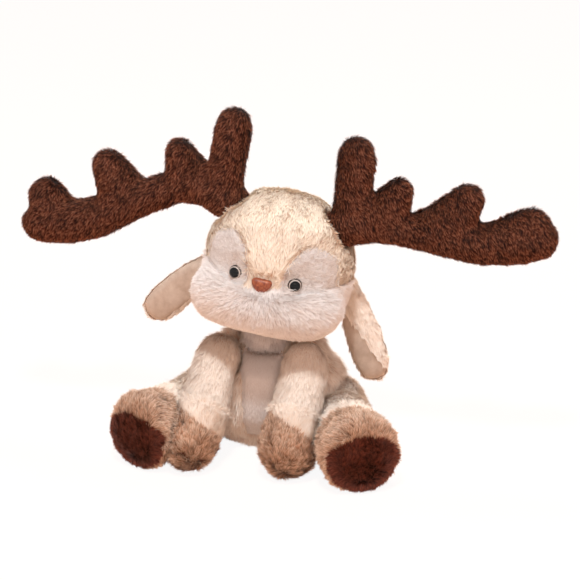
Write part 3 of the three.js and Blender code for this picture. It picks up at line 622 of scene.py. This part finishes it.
for side, sign in SIDES:
    body = "front_leg_" + side
    nodes = [f"front_leg_{side}", f"front_paw_{side}", f"front_leg_stuffing_{side}"]
    leg = stuffed_skin(f"front_leg_skin_{side}", nodes, 3.5 * MM, 3 * MM, sunk=1.5 * MM, held=[
        "torso_cover", "belly_panel", f"hind_leg_{side}", f"hind_foot_{side}", f"hind_sole_{side}", "muzzle_panel"])
    zones(leg, {"sleeve": nodes[:1], "paw": nodes[1:2]}, [cream_backing, tan_backing], pinch=0.0)
    top, paw = Vector(middle_of(f"front_leg_{side}")), Vector(middle_of(f"front_paw_{side}"))
    ahead = np.array((paw - top).normalized())
    spots = points_of(leg.data)
    tip = np.array(paw) + ahead * 0.022 + [0, 0, -0.004]
    away = spots - tip
    reach = np.linalg.norm(away, axis=1, keepdims=True)
    on_paw = eased(-gap_to(spots, nodes[1:2]), -0.004, 0.0)[:, None]
    combed(leg, ahead * (1 - on_paw) + (away / (reach + 1e-6) + [0, 0, -0.2]) * on_paw,
           0.5 + 0.5 * eased(reach[:, 0], 0.0, 0.02))
    clearance(leg, body)
    # the pile is pressed flat where the chin and the flank lie against it
    pressed = 0.65 * (1 - eased(gap_to(spots, ["muzzle_panel"]), 0.008, 0.025))
    by_flank = 0.3 * (1 - eased(gap_to(spots, ["torso_cover", "belly_panel"]), 0.004, 0.012))
    keep_value(leg.data, "trim", 1 - np.maximum(pressed, by_flank))
    # the seam to the tan lies low on the paw and slants down to its left
    along = spots @ ahead
    on_seam = np.abs(kept_value(leg.data, "zone_paw")) < ON_SEAM
    beyond = along - along[on_seam].mean() - PAW_SEAM[side] * MM - 0.5 * (spots[:, 0] - paw.x)
    reseamed(leg, "sleeve", "paw", beyond)
    backed(leg, ["sleeve", "paw"])
    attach(leg, body)
    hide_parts(*nodes)
    for name, panel, yarn, dense, long, looks, kind in (
            ("front_leg_pile_", "sleeve", cream_yarn, 2.1, 8, SLEEVE_LOOKS, "cream_pile"),
            ("front_paw_pile_", "paw", tan_yarn, 2.8, 7, {**GLINT_STREAKED, "tuft_lean": 0.45, "lean": 0.6}, "tan_pile")):
        grown_pile = pile(name + side, leg, panel, yarn, dense, long, seed=9 + sign, **looks)
        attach(grown_pile, body)

# TAIL
# A small stuffed drop of cream plush, sewn on low behind the seat. The photograph doesn't show it, so it is
# plain and short, as such toys have it.

tail = stuffed_skin("tail_skin", ["tail"], 3 * MM, 1 * MM, held=["torso_cover"], sunk=1 * MM)
zones(tail, {"all": ["tail"]}, [cream_backing])
combed(tail, np.tile([0.0, 0.8, 0.3], (len(tail.data.vertices), 1)))
clearance(tail, "tail")
# fluffed out, so that the pile hides the seam
keep_value(tail.data, "room", np.maximum(kept_value(tail.data, "room"), 0.006))
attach(tail, "tail")
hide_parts("tail")
tail_pile = pile("tail_pile", tail, "all", cream_yarn, 2.2, 8)
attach(tail_pile, "tail")

# HEAD
# The head is a large stuffed ball of shorter cream plush. White plush makes the puffed muzzle, with the
# longest pile, and two clipped patches round the eyes.

HEAD_NODES = ["head_cover", "muzzle_panel", "eye_patch_left", "eye_patch_right", "head_stuffing"]
head = stuffed_skin("head_skin", HEAD_NODES, 4 * MM, 2.5 * MM, held=[
    "eye_left", "eye_right", "nose", "neck_core", "torso_cover", "antler_left", "antler_right"], sunk=1 * MM)
zones(head, {"crown": ["head_cover"], "muzzle": ["muzzle_panel"], "patch": ["eye_patch_left", "eye_patch_right"]},
      [cream_backing, white_backing, white_backing])
spots = points_of(head.data)
nose_at = middle_of("nose")
low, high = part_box("head_cover")
away = spots - nose_at
reach = np.linalg.norm(away, axis=1, keepdims=True)
# the cream is brushed forward from a whorl at the back of the head, the white away from the nose
top_at = np.array([nose_at[0], high.y, 0.3 * low.z + 0.7 * high.z])
on_crown = kept_value(head.data, "zone_crown")[:, None] < 0
from_top = spots - top_at
spread = np.linalg.norm(from_top, axis=1, keepdims=True)
combed(head, np.where(on_crown, from_top / (spread + 1e-6), away / (reach + 1e-6) + [0, 0.25, -0.1]),
       0.6 + 0.4 * eased(np.where(on_crown, spread, reach)[:, 0], 0.008, 0.02))
clearance(head, "head")
# clipped round the nose and outside each eye, and left longer towards the nose, where it frames the eye
trim = 0.6 + 0.4 * eased(gap_to(spots, ["nose"]), 0.0, 0.008)
for eye in ("eye_left", "eye_right"):
    eye_at = middle_of(eye)
    outer = (spots - eye_at) @ ((eye_at - nose_at) / np.linalg.norm(eye_at - nose_at))
    near = 1 - eased(gap_to(spots, [eye]), 0.0, 0.012)
    trim = np.where(outer > -0.003, np.minimum(trim, 1 - 0.8 * near), np.maximum(trim, 1 + 0.5 * near))
# and shorter still on the lower half of the muzzle
low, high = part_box("muzzle_panel")
upper = eased(spots[:, 2], 0.85 * low.z + 0.15 * high.z, 0.5 * low.z + 0.5 * high.z)
trim *= 1 - 0.55 * (1 - upper) * ~on_crown[:, 0]
keep_value(head.data, "trim", trim)
# the white of the muzzle begins right under the nose
under_nose = (spots[:, 2] < nose_at[2] - 0.003) & (np.linalg.norm(spots - nose_at, axis=1) < 0.024)
for panel, value in (("crown", 1.0), ("muzzle", -1.0)):
    keep_value(head.data, "zone_" + panel, np.where(under_nose, value, kept_value(head.data, "zone_" + panel)))
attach(head, "head")
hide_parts(*HEAD_NODES)
crown_yarn = pile_yarn("plush_yarn_crown", "#e0c4a8", "#faecda", "#fff8ec", pale=1.03, dark=0.83)
patch_yarn = pile_yarn("plush_yarn_patch", "#cfc5c2", "#e5e1df", "#f4f2f1", dark=0.85)
for name, panel, yarn, dense, long, wide, lean, kind in (
        ("head_pile", "crown", crown_yarn, 1.25, 6, 0.7, 0.75, "cream_pile"),
        ("muzzle_pile", "muzzle", white_yarn, 2.8, 7, 0.6, 0.6, "white_pile"),
        ("eye_patch_pile", "patch", patch_yarn, 4.6, 3.5, 0.6, 0.6, "white_pile")):
    grown_pile = pile(name, head, panel, yarn, dense, long, width=wide, lean=lean, tuft=4, mottle=0.8,
                      speckle=1.0, tuft_lean=0.2, stray=0.2)
    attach(grown_pile, "head")

# EARS
# Each ear is a flat leaf, cream plush outside and a smooth short nap lining inside, sewn on at the cheek.
# It hangs down, and the plush is turned over its outer edge.

# Brushed polyester suede: matt and a little cloudy where the hand has turned its nap. The nap, about 0.1 mm
# fine, is drawn at 0.7 mm so that it shows.
ear_lining, tree, shader = shaded("brushed_suede_lining", Roughness=0.85, Sheen_Weight=0.35, Sheen_Roughness=0.5,
                                  Sheen_Tint=linear("#ffe9dc"))
place = add(tree, "ShaderNodeTexCoord").outputs["Object"]
brushed = add(tree, "ShaderNodeTexNoise", {"Vector": place, "Scale": 90.0, "Detail": 4.0, "Roughness": 0.6})
nap = add(tree, "ShaderNodeTexNoise", {"Vector": place, "Scale": 1400.0, "Detail": 2.0})
dyed = add(tree, "ShaderNodeValToRGB", {0: brushed.outputs[0]},
           [(0.3, "#b5a191"), (0.5, "#c4b2a3"), (0.75, "#d3c4b6")])
tree.links.new(dyed.outputs[0], shader.inputs["Base Color"])
raised = add(tree, "ShaderNodeBump", {"Height": nap.outputs[0], "Strength": 0.35, "Distance": 0.0004})
tree.links.new(raised.outputs[0], shader.inputs["Normal"])
for side, sign in SIDES:
    body = "ear_" + side
    nodes = [f"ear_outer_{side}", f"ear_inner_{side}"]
    ear = stuffed_skin(f"ear_skin_{side}", nodes, 2.5 * MM, 3.5 * MM, held=["head_cover"], rounds=2)
    zones(ear, {"outer": nodes[:1], "inner": nodes[1:]}, [cream_backing, ear_lining])
    low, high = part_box(nodes[0])
    root = np.array([low.x if sign > 0 else high.x, (low.y + high.y) / 2, high.z])
    tip = np.array([high.x if sign > 0 else low.x, (low.y + high.y) / 2, low.z])
    spots = points_of(ear.data)
    down = (tip - root) / np.linalg.norm(tip - root)
    outward = np.array([-down[2] * sign, 0.0, down[0] * sign]) * sign
    along = (spots - root) @ down / np.linalg.norm(tip - root)
    beside = (spots - root) @ outward
    beside -= np.median(beside)
    combed(ear, np.tile(tip - root, (len(ear.data.vertices), 1)))
    clearance(ear, body)
    # the cream plush of the back is turned over the outer edge of the ear, further on the left ear
    over = beside > 0.022 * (along - 0.35) - 0.004 if sign > 0 else beside > 0.014
    for panel, value in (("outer", -1.0), ("inner", 1.0)):
        keep_value(ear.data, "zone_" + panel, np.where(over, value, kept_value(ear.data, "zone_" + panel)))
    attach(ear, body)
    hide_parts(*nodes)
    grown_pile = pile(f"ear_outer_pile_{side}", ear, "outer", cream_yarn, 2.9, 6, lean=0.7, seed=13 + sign)
    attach(grown_pile, body)

# ANTLERS
# Broad padded antlers of dense dark brown plush, each a front and a back panel sewn round the outline of
# a beam with four tines. The filling rounds them. The pale tips and the few palest strands of the pile are painted
# glints where light would catch it, and the near black roots and darkest strands are painted shade.

antler_backing = knit_backing("warp_knit_brown", "#2c140d", "#1c0c08")
# pale tips and rare palest strands: painted glints; near black roots and darkest strands: painted shade
antler_yarn = pile_yarn("plush_yarn_brown", "#120502", "#3b190c", "#8f5a43", pale=1.9, dark=0.2, sharp=2.1, gloss=0.1,
                        sheen=0.06, sheen_colour="#d07850")
for side, sign in SIDES:
    body = "antler_" + side
    nodes = [f"antler_{side}", f"antler_stuffing_{side}"]
    antler = stuffed_skin(f"antler_skin_{side}", nodes, 3.5 * MM, 2.5 * MM, held=["head_cover"], rounds=5,
                          sunk=0.5 * MM)
    zones(antler, {"all": nodes[:1]}, [antler_backing])
    combed(antler, np.tile([sign * 0.5, 0.0, -0.9], (len(antler.data.vertices), 1)))
    clearance(antler, body)
    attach(antler, body)
    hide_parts(*nodes)
    grown_pile = pile(f"antler_pile_{side}", antler, "all", antler_yarn, 1.4, 5, width=0.75, lean=0.55, tuft=4,
                      tuft_lean=0.2, stray=0.2, mottle=1.6, speckle=1.3, seed=17 + sign)
    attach(grown_pile, body)

# EYES
# Crystal safety eyes: a clear acrylic dome moulded over a black pupil and a pale ring, with a dark edge of painted
# shade at the dome's moulded rim.
# A ribbed shank goes through the cloth into a locking washer inside the head.

# Polished clear acrylic over paint: the paint shows at full strength, with a hard bright catchlight on top.
eye_acrylic, tree, shader = shaded("polished_clear_acrylic", Roughness=0.03, IOR=1.49, Specular_IOR_Level=0.3)
ring = add(tree, "ShaderNodeAttribute", attribute_name="from_middle").outputs["Fac"]
# past the pale ring the paint turns dark: painted shade at the moulded rim of the dome
paint = add(tree, "ShaderNodeValToRGB", {0: ring}, [
    (0.0, "#030303"), (0.7, "#050404"), (0.74, "#a8a09b"), (0.79, "#c8c1bc"), (0.84, "#b8afa9"), (0.87, "#3a2c26"),
    (1.0, "#1c1411")]).outputs[0]
place = add(tree, "ShaderNodeTexCoord").outputs["Object"]
fleck = add(tree, "ShaderNodeTexNoise", {"Vector": place, "Scale": 1500.0, "Detail": 1.0}).outputs[0]
flecked = add(tree, "ShaderNodeMapRange", {0: fleck, 1: 0.3, 2: 0.7, 3: 0.85, 4: 1.05}).outputs[0]
tinted = add(tree, "ShaderNodeMix", {0: 1.0, 6: paint, 7: flecked}, data_type="RGBA", blend_type="MULTIPLY")
tree.links.new(tinted.outputs[2], shader.inputs["Base Color"])

# Injection moulded polyethylene: milky, waxy and slightly uneven in its gloss.
washer_plastic, tree, shader = shaded("moulded_polyethylene", IOR=1.51)
place = add(tree, "ShaderNodeTexCoord").outputs["Object"]
flow = add(tree, "ShaderNodeTexNoise", {"Vector": place, "Scale": 260.0, "Detail": 3.0}).outputs[0]
milky = add(tree, "ShaderNodeValToRGB", {0: flow}, [(0.3, "#dedad0"), (0.7, "#ece9e1")])
tree.links.new(milky.outputs[0], shader.inputs["Base Color"])
tree.links.new(add(tree, "ShaderNodeMapRange", {0: flow, 3: 0.42, 4: 0.6}).outputs[0], shader.inputs["Roughness"])


def seated(node_name):
    """Where a safety part sits and which way it faces, from the far end of its shank to its front."""
    corners = points_of(frame["nodes"][node_name].data)
    rearmost = corners[np.argmax(corners[:, 1])]
    shank_end = corners[np.linalg.norm(corners - rearmost, axis=1) < 5 * MM].mean(axis=0)
    front = corners[np.argmax(np.linalg.norm(corners - shank_end, axis=1))]
    out = Vector(front - shank_end).normalized()
    return Vector(front), out


# half profile of the eye in millimetres: distance from the middle, height under the top of the dome
EYE_PROFILE = [
    (0, 0), (1.4, -0.1), (2.7, -0.4), (3.9, -0.95), (4.9, -1.65), (5.8, -2.5), (6.5, -3.4), (6.9, -4.4), (7.0, -5.2),
    (6.7, -6.0), (2.1, -6.2), (2.1, -8.5), (2.4, -9.0), (2.1, -9.5), (2.1, -11.5), (2.4, -12.0), (2.1, -12.5),
    (1.7, -19.0), (0, -19.2)]
EYE_RADIUS, DOME_DEPTH, EYE_STEPS = 7, 6, 40
for side in ("left", "right"):
    top, out = seated("eye_" + side)
    # the stuffing tips the dome a little forward on its shank
    tipped = (out + Vector((0.1, -1.0, 0.1))).normalized()
    hub = top - out * DOME_DEPTH * MM
    corners, faces, spread = [], [], []
    for radius, height in EYE_PROFILE:
        turn = (tipped if height > -DOME_DEPTH - 0.1 else out).to_track_quat("Z", "Y")
        for k in range(EYE_STEPS if radius else 1):
            a = 2 * math.pi * k / EYE_STEPS
            corner = Vector((radius * math.cos(a), radius * math.sin(a), height + DOME_DEPTH))
            corners.append(hub + turn @ corner * MM)
            spread.append(radius / EYE_RADIUS if height > -DOME_DEPTH else 1.0)
    ring_at = lambda r, k: 0 if r == 0 else 1 + (r - 1) * EYE_STEPS + k % EYE_STEPS
    last = len(EYE_PROFILE) - 1
    for k in range(EYE_STEPS):
        faces.append((0, ring_at(1, k), ring_at(1, k + 1)))
        for r in range(1, last - 1):
            faces.append((ring_at(r, k), ring_at(r + 1, k), ring_at(r + 1, k + 1), ring_at(r, k + 1)))
        faces.append((ring_at(last - 1, k), len(corners) - 1, ring_at(last - 1, k + 1)))
    eye_mesh = bpy.data.meshes.new("safety_eye_" + side)
    eye_mesh.from_pydata(corners, [], faces)
    keep_value(eye_mesh, "from_middle", spread)
    eye_mesh.shade_smooth()
    eye_mesh.materials.append(eye_acrylic)
    eye = shown(bpy.data.objects.new("safety_eye_" + side, eye_mesh))
    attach(eye, "head")
    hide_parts("eye_" + side)
    washer = frame["nodes"]["eye_washer_" + side]
    washer.data.materials.clear()
    washer.data.materials.append(washer_plastic)

# NOSE
# A small moulded nose, a rounded triangle with a flat top, in satin red brown. It is pressed on over the
# seam of the muzzle, with a shank and a washer of its own.

# Moulded ABS with a brushed on lacquer: mottled red brown, with a soft broad highlight. The mottle is partly the
# lacquer and partly painted: the raised spots are lighter, painted highlight, and the dimples darker, painted shade.
nose_lacquer, tree, shader = shaded("lacquered_abs", IOR=1.53, Coat_Weight=0.15, Coat_Roughness=0.3)
place = add(tree, "ShaderNodeTexCoord").outputs["Object"]
cloudy = add(tree, "ShaderNodeTexNoise", {
    "Vector": place, "Scale": 330.0, "Detail": 3.0, "Roughness": 0.6}).outputs[0]
mottled = add(tree, "ShaderNodeValToRGB", {0: cloudy},
              [(0.32, "#6c2810"), (0.5, "#8f4424"), (0.68, "#b46a42")])
tree.links.new(mottled.outputs[0], shader.inputs["Base Color"])
tree.links.new(add(tree, "ShaderNodeMapRange", {0: cloudy, 3: 0.38, 4: 0.6}).outputs[0], shader.inputs["Roughness"])
dimpled = add(tree, "ShaderNodeBump", {"Height": cloudy, "Strength": 0.4, "Distance": 0.0008})
tree.links.new(dimpled.outputs[0], shader.inputs["Normal"])

# its outline in millimetres, and how wide that is drawn at each height over the cloth
NOSE_OUTLINE = np.array([(-9.6, 3.6), (-7.4, 6.2), (0, 6.6), (7.4, 6.2), (9.6, 3.6), (8.2, -0.8), (4.2, -5.6),
                         (0, -7.2), (-4.2, -5.6), (-8.2, -0.8)])
NOSE_BULGE = [(1.0, -5.5), (1.03, -3.0), (1.0, -1.2), (0.93, -0.2), (0.8, 0.6), (0.6, 1.2), (0.35, 1.6), (0.12, 1.75)]
NOSE_TOP, NOSE_BACK = 1.8, -5.5
low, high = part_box("nose")
across = (seated("eye_left")[0] - seated("eye_right")[0]).normalized()
ahead = (Vector((0, -1, 0)) - across * -across.y).normalized()
upward = ahead.cross(across)
middle = Vector(((low.x + high.x) / 2, low.y + 1.9 * MM, (low.z + high.z) / 2))
middle -= across * 1.5 * MM + upward * 1.2 * MM
line = []
for k in range(len(NOSE_OUTLINE)):
    before, start, end, after = (NOSE_OUTLINE[(k + n) % len(NOSE_OUTLINE)] for n in (-1, 0, 1, 2))
    for t in (0, 0.25, 0.5, 0.75):
        line.append(0.5 * (2 * start + (end - before) * t + (2 * before - 5 * start + 4 * end - after) * t**2
                           + (3 * start - before - 3 * end + after) * t**3))
corners = [middle + (across * x * share + upward * z * share + ahead * height) * MM
           for share, height in NOSE_BULGE for x, z in line]
corners += [middle + ahead * NOSE_TOP * MM, middle + ahead * NOSE_BACK * MM]
around = len(line)
faces = []
for k in range(around):
    after = (k + 1) % around
    for r in range(len(NOSE_BULGE) - 1):
        faces.append((r * around + k, r * around + after, (r + 1) * around + after, (r + 1) * around + k))
    faces.append(((len(NOSE_BULGE) - 1) * around + k, (len(NOSE_BULGE) - 1) * around + after, len(corners) - 2))
    faces.append((after, k, len(corners) - 1))
nose_mesh = bpy.data.meshes.new("nose_button")
nose_mesh.from_pydata(corners, [], faces)
tidy = bmesh.new()
tidy.from_mesh(nose_mesh)
bmesh.ops.recalc_face_normals(tidy, faces=tidy.faces)
tidy.to_mesh(nose_mesh)
tidy.free()
nose_mesh.shade_smooth()
nose_mesh.materials.append(nose_lacquer)
nose_button = shown(bpy.data.objects.new("nose_button", nose_mesh))
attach(nose_button, "head")
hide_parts("nose")
washer = frame["nodes"]["nose_washer"]
washer.data.materials.clear()
washer.data.materials.append(washer_plastic)

# STUDIO
# A pale floor, a soft key light high overhead and a warm fill from all round. The camera looks from a little
# above and to one side, as the photograph's does.


def seen_directly(tree):
    """1 for the rays that see the studio itself: the camera's, and those through clear or off glossy plastic."""
    rays = add(tree, "ShaderNodeLightPath").outputs
    direct = rays["Is Camera Ray"]
    for kind in ("Is Transmission Ray", "Is Glossy Ray"):
        direct = add(tree, "ShaderNodeMath", {0: direct, 1: rays[kind]}, operation="MAXIMUM").outputs[0]
    return direct


floor_mesh = bpy.data.meshes.new("floor")
floor_mesh.from_pydata([(-6, -6, 0), (6, -6, 0), (6, 6, 0), (-6, 6, 0)], [], [(0, 1, 2, 3)])
floor = shown(bpy.data.objects.new("floor", floor_mesh))
floor_paint, tree, shader = shaded("matt_white_floor", Base_Color=linear("#f0caae"), Roughness=0.9)
direct = seen_directly(tree)
glow = add(tree, "ShaderNodeEmission", {"Color": (1, 1, 1, 1), "Strength": 1.09})
amount = add(tree, "ShaderNodeMath", {0: direct, 1: 0.85}, operation="MULTIPLY")
mixed = add(tree, "ShaderNodeMixShader", {0: amount.outputs[0], 1: shader.outputs[0], 2: glow.outputs[0]})
tree.links.new(mixed.outputs[0], tree.nodes["Material Output"].inputs[0])
floor_mesh.materials.append(floor_paint)

world = bpy.data.worlds.new("studio")
bpy.context.scene.world = world
world.use_nodes = True
tree = world.node_tree
direct = seen_directly(tree)
height = add(tree, "ShaderNodeSeparateXYZ", {0: add(tree, "ShaderNodeTexCoord").outputs["Generated"]}).outputs[2]
fill = add(tree, "ShaderNodeMapRange", {0: height, 1: 0.0, 2: 1.0, 3: 0.85, 4: 0.42})
level = add(tree, "ShaderNodeMix", {0: direct, 2: fill.outputs[0], 3: 1.0}, data_type="FLOAT")
tint = add(tree, "ShaderNodeMix", {0: direct, 6: linear("#ffded0"), 7: (1, 1, 1, 1)}, data_type="RGBA")
background = tree.nodes["Background"]
tree.links.new(level.outputs[0], background.inputs["Strength"])
tree.links.new(tint.outputs[2], background.inputs["Color"])

for name, place, size, power, colour in (
        ("key", (0.1, -0.7, 1.85), 0.22, 24.5, "#f4fcff"), ("front", (0.45, -1.35, 0.9), 0.4, 2.5, "#ffe0d0"),
        ("back", (0.0, 0.75, 1.7), 0.3, 12.0, "#fff6ea")):
    light = bpy.data.lights.new(name, "AREA")
    light.shape, light.size, light.energy, light.color = "DISK", size, power, linear(colour)[:3]
    lamp = shown(bpy.data.objects.new(name, light))
    lamp.location = place
    lamp.rotation_euler = (Vector((0, 0, 0.15)) - lamp.location).to_track_quat("-Z", "Y").to_euler()

VIEW_TURN, VIEW_TILT, VIEW_DISTANCE = math.radians(13), math.radians(20), 1.7
aim_at = Vector((0.01754, 0.00405, 0.156))
back = Vector((math.sin(VIEW_TURN) * math.cos(VIEW_TILT), -math.cos(VIEW_TURN) * math.cos(VIEW_TILT),
               math.sin(VIEW_TILT)))
lens = bpy.data.cameras.new("camera")
lens.sensor_width, lens.lens = 36, 36 * 1700 / 580  # from there a millimetre covers one of the 580 pixels
camera = shown(bpy.data.objects.new("camera", lens))
camera.location = aim_at + back * VIEW_DISTANCE
camera.rotation_euler = (-back).to_track_quat("-Z", "Y").to_euler()
bpy.context.scene.camera = camera
bpy.context.scene.view_settings.view_transform = "Standard"
